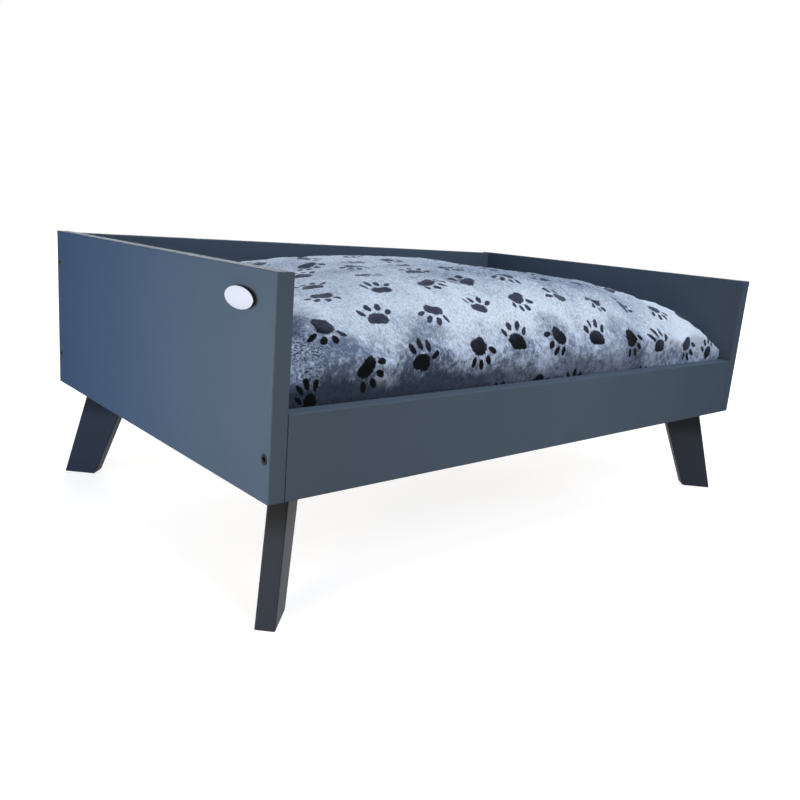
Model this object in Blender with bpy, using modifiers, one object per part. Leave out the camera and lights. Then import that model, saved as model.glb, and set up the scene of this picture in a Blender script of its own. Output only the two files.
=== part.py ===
# Dog sofa: a painted box frame on four splayed plank legs, with a loose plush cushion in it.
# Metres, +Z up. The open front faces -Y and the feet stand on Z = 0.
import math

import bmesh
import bpy
from mathutils import Matrix, Vector

# Frame boards
SOFA_LENGTH = 0.7112  # across the front, outside the side panels
SOFA_DEPTH = 0.4572
PANEL_HEIGHT = 0.172
PANEL_THICKNESS = 0.015
PANEL_EDGE_RADIUS = 0.001
RAIL_HEIGHT = 0.0686
BACK_DROP = 0.001  # the back panel stops this far below the side panels' top edges

# Legs: tapered planks that stand in each corner's diagonal and lean outwards
LEG_HEIGHT = 0.107  # floor to the panels' bottom edges
LEG_THICKNESS = 0.0167
LEG_TOP_WIDTH = 0.0476
LEG_FOOT_WIDTH = 0.0361
LEG_TOP_INSET = 0.0402  # along the diagonal, from the frame's outer corner to the leg's outer edge
LEG_FOOT_INSET = 0.0084
LEG_TOE_RADIUS = 0.004  # rounded inner corner of the foot
LEG_EDGE_RADIUS = 0.0008

# Corner blocks, cleats and the base board that they carry
BASE_RECESS = 0.003  # from the panels' bottom edges up to the blocks and cleats
BLOCK_THICKNESS = 0.018
BLOCK_MARGIN = 0.012  # block past the leg's inner edge
BLOCK_TIP = 0.012  # cut off the block's inner corner, measured along each wall
CLEAT_WIDTH = 0.018
BATTEN_WIDTH = 0.03
BOARD_THICKNESS = 0.009
BOARD_PLAY = 0.001
WOOD_EDGE_RADIUS = 0.0006

# Screws: head diameter, head depth, shank diameter and length
PANEL_SCREW = (0.0086, 0.0028, 0.0048, 0.05)
CLEAT_SCREW = (0.007, 0.0024, 0.0035, 0.029)
BOARD_SCREW = (0.007, 0.0024, 0.0035, 0.022)
LEG_SCREW = (0.009, 0.003, 0.0045, 0.046)
SCREW_TIP = 0.004
PANEL_SCREW_INSET = 0.0344  # from the back panel's top and bottom corners to its screws
PANEL_SCREW_SOCKET = 0.004  # across the flats
PANEL_SCREW_SOCKET_DEPTH = 0.002
CLEAT_SCREW_END = 0.05  # from a cleat's end to its screw
BATTEN_SCREW_END = 0.04
LEG_SCREW_EDGE = 0.0095  # from the leg's outer edge to the first screw
LEG_SCREW_SPACING = 0.018
BLOCK_SCREW_SETBACK = 0.014  # from the block's long edge

# Dowels that locate the rail and the back panel between the side panels
DOWEL_DIAMETER = 0.008
DOWEL_LENGTH = 0.03
DOWEL_IN_PANEL = 0.01
DOWEL_CHAMFER = 0.001
RAIL_DOWEL_DROP = 0.02  # below the rail's screw

# Oval badge on the left side panel
BADGE_WIDTH = 0.0418
BADGE_HEIGHT = 0.0171
BADGE_THICKNESS = 0.0026
BADGE_LIP = 0.0011
BADGE_DISH = 0.0003  # the face lies this far below its rim
BADGE_FROM_FRONT = 0.0453
BADGE_ABOVE_BASE = 0.1487
BADGE_PAD_THICKNESS = 0.0008
BADGE_PAD_INSET = 0.0016

# Cushion: two sewn panels round a loose fill, with a zip in the rear seam
CUSHION_PLAY = 0.002  # to the panels round it
CUSHION_CROWN = 0.077  # from the seam to the top
CUSHION_DROP = 0.0575  # from the seam to the underside
CUSHION_DRAW_IN = 0.006  # how far each side pulls in between its corners
CUSHION_FLATTENING = 0.012
COVER_THICKNESS = 0.003
COVER_SEAM_GAP = 0.0003
CUSHION_CORNER_POWER = 20
CROWN_LENGTHWISE_POWER = 1.85
CROWN_ACROSS_POWER = 5.3
CROWN_ROUNDNESS = 2.05
UNDERSIDE_POWER = 7
CELLS_LENGTHWISE = 18
CELLS_ACROSS = 14

# Zip
ZIP_LENGTH = 0.42
ZIP_POCKET_HEIGHT = 0.012
ZIP_TAPE_THICKNESS = 0.0012
ZIP_COIL_HEIGHT = 0.005
ZIP_COIL_THICKNESS = 0.0018
ZIP_SEWN_END = 0.005  # closed by stitches at each end, where the slider stops
SLIDER_LENGTH = 0.009
SLIDER_HEIGHT = 0.008
SLIDER_THICKNESS = 0.0035
PULL_LENGTH = 0.022
PULL_WIDTH = 0.0055
PULL_THICKNESS = 0.0012
ZIP_EDGE_RADIUS = 0.0004

# Fits and fineness
FIT = 0.0003  # gap between pieces that touch
CUT_PAST = 0.001  # how far a cutter runs past the face it enters
SCREW_SIDES = 8
PANEL_SCREW_SIDES = 16
DOWEL_SIDES = 8
BADGE_SIDES = 32
EDGE_SEGMENTS = 2
WELD = 0.000001

# Which way each side, end and corner lies from the middle
SIDES = {"left": -1, "right": 1}
ENDS = {"front": -1, "rear": 1}
CORNERS = {f"{row}_{hand}": (side, end) for row, end in ENDS.items() for hand, side in SIDES.items()}

# Levels and faces that follow from the sizes above
frame_top = LEG_HEIGHT + PANEL_HEIGHT
block_bottom = LEG_HEIGHT + BASE_RECESS
block_top = block_bottom + BLOCK_THICKNESS
board_bottom = block_top + FIT
board_top = board_bottom + BOARD_THICKNESS
cushion_bottom = board_top + FIT
seam_level = cushion_bottom + CUSHION_DROP
rail_screw_level = LEG_HEIGHT + RAIL_HEIGHT / 2
half_length = SOFA_LENGTH / 2
half_depth = SOFA_DEPTH / 2
inner_half_length = half_length - PANEL_THICKNESS
inner_half_depth = half_depth - PANEL_THICKNESS
badge_proud = FIT + BADGE_PAD_THICKNESS + FIT + BADGE_THICKNESS

# Each corner's own frame: +X runs along the diagonal, from the outer corner to the middle
wall_corner = math.sqrt(2) * (PANEL_THICKNESS + FIT)
block_long_edge = LEG_TOP_INSET + LEG_TOP_WIDTH + BLOCK_MARGIN
block_side = math.sqrt(2) * (block_long_edge - wall_corner) - CLEAT_WIDTH
long_cleat_reach = inner_half_length - FIT - block_side - FIT
short_cleat_reach = inner_half_depth - FIT - block_side - FIT


def clear_scene():
    for old in list(bpy.data.objects):
        bpy.data.objects.remove(old)


def new_collection(name):
    made = bpy.data.collections.new(name)
    bpy.context.scene.collection.children.link(made)
    return made


clear_scene()
parts = new_collection("dog_sofa")
cutters = new_collection("cutters")

# The badge stands proud on one side, so the frame sits half of that off centre
centre = bpy.data.objects.new("sofa_centre", None)
centre.location = (badge_proud / 2, 0, 0)
parts.objects.link(centre)


def paint(name, colour, roughness, metallic=0.0):
    made = bpy.data.materials.new(name)
    made.use_nodes = True
    shader = made.node_tree.nodes["Principled BSDF"]
    shader.inputs["Base Color"].default_value = (*colour, 1.0)
    shader.inputs["Roughness"].default_value = roughness
    shader.inputs["Metallic"].default_value = metallic
    return made


def place(mesh, name, material, matrix=None):
    made = bpy.data.objects.new(name, mesh)
    if not mesh.materials:
        mesh.materials.append(material)
    made.matrix_world = matrix or Matrix()
    made.parent = centre
    parts.objects.link(made)
    return made


def round_edges(target, radius, segments=1):
    bevel = target.modifiers.new("rounded_edges", "BEVEL")
    bevel.width = radius
    bevel.segments = segments
    bevel.limit_method = "ANGLE"
    bevel.angle_limit = math.radians(35)


def box_mesh(name, size):
    shape = bmesh.new()
    bmesh.ops.create_cube(shape, size=1.0)
    bmesh.ops.scale(shape, vec=size, verts=shape.verts)
    mesh = bpy.data.meshes.new(name)
    shape.to_mesh(mesh)
    shape.free()
    return mesh


def board(name, low, high, material, edge_radius, segments=1):
    low = Vector(low)
    high = Vector(high)
    mesh = box_mesh(name, high - low)
    made = place(mesh, name, material, Matrix.Translation((low + high) / 2))
    round_edges(made, edge_radius, segments)
    return made


def turned_mesh(name, profile, sides):
    # A profile of (radius, height) points, top to bottom, spun about Z
    shape = bmesh.new()
    points = [shape.verts.new((radius, 0, height)) for radius, height in profile]
    lines = [shape.edges.new(pair) for pair in zip(points, points[1:])]
    bmesh.ops.spin(
        shape,
        geom=points + lines,
        cent=(0, 0, 0),
        axis=(0, 0, 1),
        angle=2 * math.pi,
        steps=sides,
        use_merge=True,
    )
    bmesh.ops.remove_doubles(shape, verts=shape.verts, dist=WELD)
    bmesh.ops.recalc_face_normals(shape, faces=shape.faces)
    mesh = bpy.data.meshes.new(name)
    shape.to_mesh(mesh)
    shape.free()
    mesh.shade_smooth()
    mesh.set_sharp_from_angle(angle=math.radians(35))
    return mesh


def repeated_mesh(name, mesh, places):
    # Copies of one small solid, as separate bodies in a single mesh
    shape = bmesh.new()
    for matrix in places:
        start = len(shape.verts)
        shape.from_mesh(mesh)
        shape.verts.ensure_lookup_table()
        bmesh.ops.transform(shape, matrix=matrix, verts=shape.verts[start:])
    group = bpy.data.meshes.new(name)
    shape.to_mesh(group)
    shape.free()
    return group


def cutter(name, mesh):
    made = bpy.data.objects.new(name, mesh)
    made.parent = centre
    made.hide_render = True
    made.display_type = "WIRE"
    cutters.objects.link(made)
    return made


def cut(target, tool):
    boolean = target.modifiers.new("cut_" + tool.name, "BOOLEAN")
    boolean.operation = "DIFFERENCE"
    boolean.solver = "EXACT"
    boolean.object = tool


def facing(point, outward):
    # Stands a fastener at a point with its head towards the outward direction
    turn = Vector(outward).to_track_quat("Z", "Y").to_matrix().to_4x4()
    return Matrix.Translation(point) @ turn


def corner_matrix(side, end):
    inward = math.atan2(-end, -side)
    corner = Vector((side * half_length, end * half_depth, 0))
    return Matrix.Translation(corner) @ Matrix.Rotation(inward, 4, "Z")


def screw_profile(sizes, room):
    # With room, the hole that the screw sits in, open above its head
    head, head_depth, shank, length = sizes
    rim = head / 2 + room
    stem = shank / 2 + room
    bore = [(0, CUT_PAST), (rim, CUT_PAST), (rim, 0)]
    top = [(0, 0), (rim, 0)]
    return [
        *(bore if room else top),
        (stem, -head_depth),
        (stem, -(length - SCREW_TIP)),
        (0, -(length + room)),
    ]


def fasteners(kind, profile, sides, spots, material, targets):
    # One turned piece at each named spot, and its hole in what it goes through
    solid = turned_mesh(kind, profile(0.0), sides)
    hollow = turned_mesh(kind + "_hole", profile(FIT), sides)
    tool = cutter(kind + "_holes", repeated_mesh(kind + "_holes", hollow, spots.values()))
    for target in targets:
        cut(target, tool)
    return [place(solid, name, material, matrix) for name, matrix in spots.items()]


def screws(sizes, kind, sides, spots, material, targets):
    def profile(room):
        return screw_profile(sizes, room)

    return fasteners(kind, profile, sides, spots, material, targets)


def side_panel(name, side, material):
    outer = side * half_length
    inner = side * inner_half_length
    return board(
        name,
        (min(outer, inner), -half_depth, LEG_HEIGHT),
        (max(outer, inner), half_depth, frame_top),
        material,
        PANEL_EDGE_RADIUS,
        EDGE_SEGMENTS,
    )


def back_panel(material):
    return board(
        "back_panel",
        (-inner_half_length + FIT, inner_half_depth, LEG_HEIGHT),
        (inner_half_length - FIT, half_depth, frame_top - BACK_DROP),
        material,
        PANEL_EDGE_RADIUS,
        EDGE_SEGMENTS,
    )


def front_rail(material):
    return board(
        "front_rail",
        (-inner_half_length + FIT, -half_depth, LEG_HEIGHT),
        (inner_half_length - FIT, -inner_half_depth, LEG_HEIGHT + RAIL_HEIGHT),
        material,
        PANEL_EDGE_RADIUS,
        EDGE_SEGMENTS,
    )


def base_board(material):
    reach = Vector((inner_half_length, inner_half_depth)) - Vector((BOARD_PLAY, BOARD_PLAY))
    return board(
        "base_board",
        (-reach.x, -reach.y, board_bottom),
        (reach.x, reach.y, board_top),
        material,
        WOOD_EDGE_RADIUS,
    )


def long_cleat(name, end, material):
    wall = end * (inner_half_depth - FIT)
    free = end * (inner_half_depth - FIT - CLEAT_WIDTH)
    return board(
        name,
        (-long_cleat_reach, min(wall, free), block_bottom),
        (long_cleat_reach, max(wall, free), block_top),
        material,
        WOOD_EDGE_RADIUS,
    )


def short_cleat(name, side, material):
    wall = side * (inner_half_length - FIT)
    free = side * (inner_half_length - FIT - CLEAT_WIDTH)
    return board(
        name,
        (min(wall, free), -short_cleat_reach, block_bottom),
        (max(wall, free), short_cleat_reach, block_top),
        material,
        WOOD_EDGE_RADIUS,
    )


def centre_batten(material):
    reach = inner_half_depth - FIT - CLEAT_WIDTH - FIT
    return board(
        "centre_batten",
        (-BATTEN_WIDTH / 2, -reach, block_bottom),
        (BATTEN_WIDTH / 2, reach, block_top),
        material,
        WOOD_EDGE_RADIUS,
    )


def outline_mesh(name, points, thickness):
    # A flat closed outline in XY, given its thickness evenly on both sides of Z = 0
    curve = bpy.data.curves.new(name, "CURVE")
    curve.dimensions = "2D"
    curve.fill_mode = "BOTH"
    curve.extrude = thickness / 2
    line = curve.splines.new("POLY")
    line.points.add(len(points) - 1)
    for spot, (x, y) in zip(line.points, points):
        spot.co = (x, y, 0, 1)
    line.use_cyclic_u = True
    guide = bpy.data.objects.new(name + "_outline", curve)
    cutters.objects.link(guide)
    seen = guide.evaluated_get(bpy.context.evaluated_depsgraph_get())
    mesh = bpy.data.meshes.new_from_object(seen)
    mesh.name = name
    bpy.data.objects.remove(guide)
    shape = bmesh.new()
    shape.from_mesh(mesh)
    bmesh.ops.remove_doubles(shape, verts=shape.verts, dist=WELD)
    bmesh.ops.dissolve_limit(
        shape, angle_limit=math.radians(1), verts=shape.verts, edges=shape.edges
    )
    bmesh.ops.recalc_face_normals(shape, faces=shape.faces)
    shape.to_mesh(mesh)
    shape.free()
    return mesh


def leg_outline():
    # X along the diagonal, Y up the leg; the toe is the foot's rounded inner corner
    top = block_bottom - FIT
    toe = Vector((LEG_FOOT_INSET + LEG_FOOT_WIDTH, 0))
    knee = Vector((LEG_TOP_INSET + LEG_TOP_WIDTH, top))
    slope = (knee - toe).normalized()
    turn = math.atan2(slope.y, slope.x)
    middle = toe + LEG_TOE_RADIUS * Vector((-math.tan(turn / 2), 1))
    steps = 4
    arc = []
    for step in range(steps + 1):
        angle = -math.pi / 2 + turn * step / steps
        arc.append(middle + LEG_TOE_RADIUS * Vector((math.cos(angle), math.sin(angle))))
    return [(LEG_FOOT_INSET, 0), *[tuple(point) for point in arc], tuple(knee), (LEG_TOP_INSET, top)]


def leg_mesh():
    mesh = outline_mesh("leg", leg_outline(), LEG_THICKNESS)
    mesh.transform(Matrix.Rotation(math.pi / 2, 4, "X"))
    return mesh


def leg(name, mesh, side, end, material):
    made = place(mesh, name, material, corner_matrix(side, end))
    round_edges(made, LEG_EDGE_RADIUS, EDGE_SEGMENTS)
    return made


def block_mesh():
    # Drawn along the two walls from the inside corner, then turned onto the diagonal
    side = block_side
    wide = CLEAT_WIDTH
    along_walls = [(BLOCK_TIP, 0), (side, 0), (side, wide), (wide, side), (0, side), (0, BLOCK_TIP)]
    mesh = outline_mesh("corner_block", along_walls, BLOCK_THICKNESS)
    middle = block_bottom + BLOCK_THICKNESS / 2
    turn = Matrix.Rotation(-math.pi / 4, 4, "Z")
    mesh.transform(Matrix.Translation((wall_corner, 0, middle)) @ turn)
    return mesh


def corner_block(name, mesh, side, end, material):
    made = place(mesh, name, material, corner_matrix(side, end))
    round_edges(made, WOOD_EDGE_RADIUS)
    return made


def panel_screw_spots():
    front = -(half_depth - PANEL_THICKNESS / 2)
    low = LEG_HEIGHT + PANEL_SCREW_INSET
    high = frame_top - PANEL_SCREW_INSET
    levels = {"rail": (front, rail_screw_level), "low_back": (-front, low), "high_back": (-front, high)}
    return {
        f"{hand}_{where}_screw": facing((side * half_length, y, z), (side, 0, 0))
        for hand, side in SIDES.items()
        for where, (y, z) in levels.items()
    }


def dowel_spots():
    front = -(half_depth - PANEL_THICKNESS / 2)
    start = inner_half_length + DOWEL_IN_PANEL
    middle = (LEG_HEIGHT + frame_top) / 2
    levels = {"rail": (front, rail_screw_level - RAIL_DOWEL_DROP), "back": (-front, middle)}
    return {
        f"{hand}_{where}_dowel": facing((side * start, y, z), (side, 0, 0))
        for hand, side in SIDES.items()
        for where, (y, z) in levels.items()
    }


def dowel_profile(room):
    radius = DOWEL_DIAMETER / 2 + room
    chamfer = DOWEL_CHAMFER
    return [
        (0, room),
        (radius - chamfer, room),
        (radius, room - chamfer),
        (radius, chamfer - DOWEL_LENGTH - room),
        (radius - chamfer, -DOWEL_LENGTH - room),
        (0, -DOWEL_LENGTH - room),
    ]


def cleat_screw_spots():
    level = block_bottom + BLOCK_THICKNESS / 2
    face_y = inner_half_depth - FIT - CLEAT_WIDTH
    face_x = inner_half_length - FIT - CLEAT_WIDTH
    along = long_cleat_reach - CLEAT_SCREW_END
    across = short_cleat_reach - CLEAT_SCREW_END
    spots = {}
    for row, end in ENDS.items():
        for hand, side in SIDES.items():
            in_long = facing((side * along, end * face_y, level), (0, -end, 0))
            in_short = facing((side * face_x, end * across, level), (-side, 0, 0))
            spots[f"{row}_cleat_{hand}_screw"] = in_long
            spots[f"{hand}_cleat_{row}_screw"] = in_short
    return spots


def base_screw_spots():
    # Down through the base board, one into each corner block and two into the batten
    reach = inner_half_depth - FIT - CLEAT_WIDTH - BATTEN_SCREW_END
    spots = corner_spots({"base_screw": block_long_edge - BLOCK_SCREW_SETBACK}, board_top)
    for row, end in ENDS.items():
        spots[row + "_batten_screw"] = facing((0, end * reach, board_top), (0, 0, 1))
    return spots


def leg_screw_spots():
    first = LEG_TOP_INSET + LEG_SCREW_EDGE
    along = {"outer_leg_screw": first, "inner_leg_screw": first + LEG_SCREW_SPACING}
    return corner_spots(along, block_top)


def corner_spots(along, level):
    # Upright on each corner's diagonal, at the given distances from the outer corner
    return {
        f"{corner}_{what}": facing(corner_matrix(*at) @ Vector((far, 0, level)), (0, 0, 1))
        for corner, at in CORNERS.items()
        for what, far in along.items()
    }


def socket_tool(places):
    # The hexagon that a key turns in each visible screw head
    shape = bmesh.new()
    across_corners = PANEL_SCREW_SOCKET / math.cos(math.pi / 6)
    bmesh.ops.create_cone(
        shape,
        cap_ends=True,
        segments=6,
        radius1=across_corners / 2,
        radius2=across_corners / 2,
        depth=2 * PANEL_SCREW_SOCKET_DEPTH,
    )
    mesh = bpy.data.meshes.new("socket_one")
    shape.to_mesh(mesh)
    shape.free()
    return cutter("screw_sockets", repeated_mesh("screw_sockets", mesh, places))


def oval_mesh(name, rings):
    # Closed stack of ovals, each (inset from the full size, height)
    shape = bmesh.new()
    loops = []
    for inset, height in rings:
        ring = bmesh.ops.create_circle(shape, segments=BADGE_SIDES, radius=1.0)["verts"]
        for vert in ring:
            vert.co.x *= BADGE_WIDTH / 2 - inset
            vert.co.y *= BADGE_HEIGHT / 2 - inset
            vert.co.z = height
        loops.append(ring)
    for lower, upper in zip(loops, loops[1:]):
        both = set(lower) | set(upper)
        edges = [e for e in shape.edges if set(e.verts) <= both]
        bmesh.ops.bridge_loops(shape, edges=edges)
    for ring in (loops[0], loops[-1]):
        edges = [e for e in shape.edges if set(e.verts) <= set(ring)]
        bmesh.ops.contextual_create(shape, geom=edges)
    bmesh.ops.recalc_face_normals(shape, faces=shape.faces)
    mesh = bpy.data.meshes.new(name)
    shape.to_mesh(mesh)
    shape.free()
    mesh.shade_smooth()
    mesh.set_sharp_from_angle(angle=math.radians(50))
    return mesh


def badge_matrix(proud):
    # Lies on the left side panel with its long way along Y
    spot = (-half_length - proud, BADGE_FROM_FRONT - half_depth, LEG_HEIGHT + BADGE_ABOVE_BASE)
    flat = Matrix(((0, 0, -1, 0), (-1, 0, 0, 0), (0, 1, 0, 0), (0, 0, 0, 1)))
    return Matrix.Translation(spot) @ flat


def badge(material, pad_material):
    edge = BADGE_LIP / 3
    full = BADGE_THICKNESS
    rings = [
        (edge / 2, 0),
        (0, edge / 2),
        (0, full - edge),
        (edge, full),
        (BADGE_LIP, full),
        (BADGE_LIP + edge, full - BADGE_DISH),
        (3 * BADGE_LIP, full - BADGE_DISH / 2),
    ]
    pad_rings = [(BADGE_PAD_INSET, 0), (BADGE_PAD_INSET, BADGE_PAD_THICKNESS)]
    pad_face = FIT + BADGE_PAD_THICKNESS + FIT
    place(oval_mesh("oval_badge", rings), "oval_badge", material, badge_matrix(pad_face))
    place(oval_mesh("badge_pad", pad_rings), "badge_pad", pad_material, badge_matrix(FIT))


def swell(u, v, lengthwise, across, roundness):
    # 1 in the middle, 0 along the seam
    left = max(0.0, 1 - abs(u) ** lengthwise) * max(0.0, 1 - abs(v) ** across)
    return left ** (1 / roundness)


def draw_skin(verts, shrink, height):
    # Takes a flat square's points to a pillow; height gives the level over the seam from (u, v)
    reach_x = inner_half_length - CUSHION_PLAY - shrink
    reach_y = inner_half_depth - CUSHION_PLAY - shrink
    power = CUSHION_CORNER_POWER
    for vert in verts:
        u = math.sin(math.pi / 2 * vert.co.x)
        v = math.sin(math.pi / 2 * vert.co.y)
        blunt = (abs(u) ** power + abs(v) ** power) ** (1 / power) or 1.0
        pull = max(abs(u), abs(v)) / blunt
        vert.co.x = (reach_x - CUSHION_DRAW_IN * (1 - v * v)) * u * pull
        vert.co.y = (reach_y - CUSHION_DRAW_IN * (1 - u * u)) * v * pull
        vert.co.z = height(u, v)


def crown_height(shrink):
    rise = CUSHION_CROWN - COVER_SEAM_GAP / 2 - shrink
    return lambda u, v: COVER_SEAM_GAP / 2 + rise * swell(
        u, v, CROWN_LENGTHWISE_POWER, CROWN_ACROSS_POWER, CROWN_ROUNDNESS
    )


def underside_height(shrink):
    drop = CUSHION_DROP - COVER_SEAM_GAP / 2 - shrink
    return lambda u, v: -COVER_SEAM_GAP / 2 - min(
        drop,
        (drop + CUSHION_FLATTENING) * swell(u, v, UNDERSIDE_POWER, UNDERSIDE_POWER, 2),
    )


def cushion_mesh(name, skins):
    # A flat grid doubled into two skins joined along their rim, each then drawn to its form
    shape = bmesh.new()
    bmesh.ops.create_grid(shape, x_segments=CELLS_LENGTHWISE, y_segments=CELLS_ACROSS, size=1.0)
    first = list(shape.verts)
    bmesh.ops.extrude_face_region(shape, geom=list(shape.faces), use_keep_orig=True)
    second = list(shape.verts)[len(first) :]
    for verts, skin in zip((first, second), skins):
        draw_skin(verts, *skin)
    bmesh.ops.recalc_face_normals(shape, faces=shape.faces)
    mesh = bpy.data.meshes.new(name)
    shape.to_mesh(mesh)
    shape.free()
    mesh.shade_smooth()
    mesh.set_sharp_from_angle(angle=math.radians(60))
    return mesh


def cushion(cover_material, fill_material):
    inside = COVER_THICKNESS
    loose = COVER_THICKNESS + FIT
    raised = Matrix.Translation((0, 0, seam_level))
    top_skins = [(0.0, crown_height(0.0)), (inside, crown_height(inside))]
    bottom_skins = [(0.0, underside_height(0.0)), (inside, underside_height(inside))]
    fill_skins = [(loose, crown_height(loose)), (loose, underside_height(loose))]
    pieces = {
        "cushion_top_panel": (top_skins, cover_material),
        "cushion_bottom_panel": (bottom_skins, cover_material),
        "cushion_fill": (fill_skins, fill_material),
    }
    return [
        place(cushion_mesh(name, skins), name, material, raised)
        for name, (skins, material) in pieces.items()
    ]


def zip_board(name, thickness, height, start_y, material):
    board(
        name,
        (-ZIP_LENGTH / 2, start_y, seam_level - height / 2),
        (ZIP_LENGTH / 2, start_y + thickness, seam_level + height / 2),
        material,
        ZIP_EDGE_RADIUS,
    )


def zip_slider(start_y, material):
    # Parked at the right end of the zip; the pull hangs from its outer face
    rest_x = ZIP_LENGTH / 2 - ZIP_SEWN_END - SLIDER_LENGTH / 2
    body = (SLIDER_LENGTH, SLIDER_THICKNESS, SLIDER_HEIGHT)
    tab = (PULL_WIDTH, PULL_THICKNESS, PULL_LENGTH)
    tab_y = (SLIDER_THICKNESS - PULL_THICKNESS) / 2 - ZIP_EDGE_RADIUS / 2
    tab_z = -PULL_LENGTH / 2 + SLIDER_HEIGHT / 4
    rest = Matrix.Translation((rest_x, start_y + SLIDER_THICKNESS / 2, seam_level))
    made = place(box_mesh("zip_slider", body), "zip_slider", material, rest)
    round_edges(made, ZIP_EDGE_RADIUS)
    pull = cutter("zip_pull", box_mesh("zip_pull", tab))
    pull.matrix_world = rest @ Matrix.Translation((0, tab_y, tab_z))
    union = made.modifiers.new("pull", "BOOLEAN")
    union.operation = "UNION"
    union.solver = "EXACT"
    union.object = pull


def zip_fastener(pieces, tape_material, coil_material, metal):
    floor = inner_half_depth - CUSHION_PLAY - CUSHION_DRAW_IN - COVER_THICKNESS - FIT
    tape_y = floor + FIT
    coil_y = tape_y + ZIP_TAPE_THICKNESS + FIT
    slider_y = coil_y + ZIP_COIL_THICKNESS + FIT
    pocket = (ZIP_LENGTH + 2 * FIT, half_depth - floor, ZIP_POCKET_HEIGHT)
    tool = cutter("zip_pocket", box_mesh("zip_pocket", pocket))
    tool.location = (0, (floor + half_depth) / 2, seam_level)
    for piece in pieces:
        cut(piece, tool)
    tape_height = ZIP_POCKET_HEIGHT - 2 * FIT
    zip_board("zip_tape", ZIP_TAPE_THICKNESS, tape_height, tape_y, tape_material)
    zip_board("zip_coil", ZIP_COIL_THICKNESS, ZIP_COIL_HEIGHT, coil_y, coil_material)
    zip_slider(slider_y, metal)


def build():
    slate = paint("slate_paint", (0.083, 0.128, 0.172), 0.42)
    charcoal = paint("charcoal_paint", (0.032, 0.038, 0.052), 0.45)
    pine = paint("bare_pine", (0.62, 0.45, 0.27), 0.7)
    plywood = paint("plywood", (0.55, 0.4, 0.25), 0.7)
    beech = paint("beech", (0.6, 0.42, 0.26), 0.65)
    black_steel = paint("black_steel", (0.012, 0.013, 0.015), 0.4, 0.8)
    zinc = paint("zinc_steel", (0.6, 0.6, 0.62), 0.35, 1.0)
    white = paint("white_plastic", (0.82, 0.84, 0.88), 0.15)
    foam = paint("foam_tape", (0.05, 0.05, 0.05), 0.9)
    plush = paint("plush", (0.52, 0.59, 0.74), 0.95)
    fibre = paint("fibre_fill", (0.85, 0.85, 0.83), 1.0)
    tape = paint("zip_tape_cloth", (0.1, 0.11, 0.13), 0.9)
    nylon = paint("zip_nylon", (0.06, 0.065, 0.075), 0.45)

    left = side_panel("left_side_panel", -1, slate)
    right = side_panel("right_side_panel", 1, slate)
    back = back_panel(slate)
    rail = front_rail(slate)
    shell = [left, right, back, rail]

    base = base_board(plywood)
    cleats = [
        long_cleat("front_cleat", -1, pine),
        long_cleat("back_cleat", 1, pine),
        short_cleat("left_cleat", -1, pine),
        short_cleat("right_cleat", 1, pine),
    ]
    batten = centre_batten(pine)

    leg_shape = leg_mesh()
    block_shape = block_mesh()
    legs = [leg(name + "_leg", leg_shape, *at, charcoal) for name, at in CORNERS.items()]
    blocks = [
        corner_block(name + "_corner_block", block_shape, *at, pine) for name, at in CORNERS.items()
    ]

    panel_spots = panel_screw_spots()
    panel_screws = screws(PANEL_SCREW, "panel_screw", PANEL_SCREW_SIDES, panel_spots, black_steel, shell)
    sockets = socket_tool(panel_spots.values())
    for screw in panel_screws:
        cut(screw, sockets)
    fasteners("dowel", dowel_profile, DOWEL_SIDES, dowel_spots(), beech, shell)
    screws(CLEAT_SCREW, "cleat_screw", SCREW_SIDES, cleat_screw_spots(), zinc, shell + cleats)
    screws(BOARD_SCREW, "base_screw", SCREW_SIDES, base_screw_spots(), zinc, [base, batten, *blocks])
    screws(LEG_SCREW, "leg_screw", SCREW_SIDES, leg_screw_spots(), zinc, blocks + legs)

    badge(white, foam)
    soft = cushion(plush, fibre)
    zip_fastener(soft, tape, nylon, black_steel)


build()
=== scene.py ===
import math

import bmesh
import bpy
import numpy as np
from mathutils import Matrix, Vector


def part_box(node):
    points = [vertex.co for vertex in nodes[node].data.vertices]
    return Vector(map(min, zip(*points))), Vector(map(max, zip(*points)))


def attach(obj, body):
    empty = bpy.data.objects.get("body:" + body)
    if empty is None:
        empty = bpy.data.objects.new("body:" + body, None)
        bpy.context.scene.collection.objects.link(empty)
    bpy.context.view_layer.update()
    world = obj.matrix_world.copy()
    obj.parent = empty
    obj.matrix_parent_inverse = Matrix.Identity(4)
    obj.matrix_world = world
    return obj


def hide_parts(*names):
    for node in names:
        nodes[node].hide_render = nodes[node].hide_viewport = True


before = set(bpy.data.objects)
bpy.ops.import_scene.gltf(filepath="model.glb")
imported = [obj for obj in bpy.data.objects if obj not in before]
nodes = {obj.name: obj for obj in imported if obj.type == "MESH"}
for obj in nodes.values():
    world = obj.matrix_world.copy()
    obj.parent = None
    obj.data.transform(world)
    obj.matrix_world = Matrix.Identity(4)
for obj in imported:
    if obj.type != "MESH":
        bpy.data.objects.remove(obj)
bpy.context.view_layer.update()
for name in ("Cube", "Camera", "Light"):
    if name in bpy.data.objects:
        bpy.data.objects.remove(bpy.data.objects[name])
print("frame loaded:", len(nodes), "nodes")


# Shader maths


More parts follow.
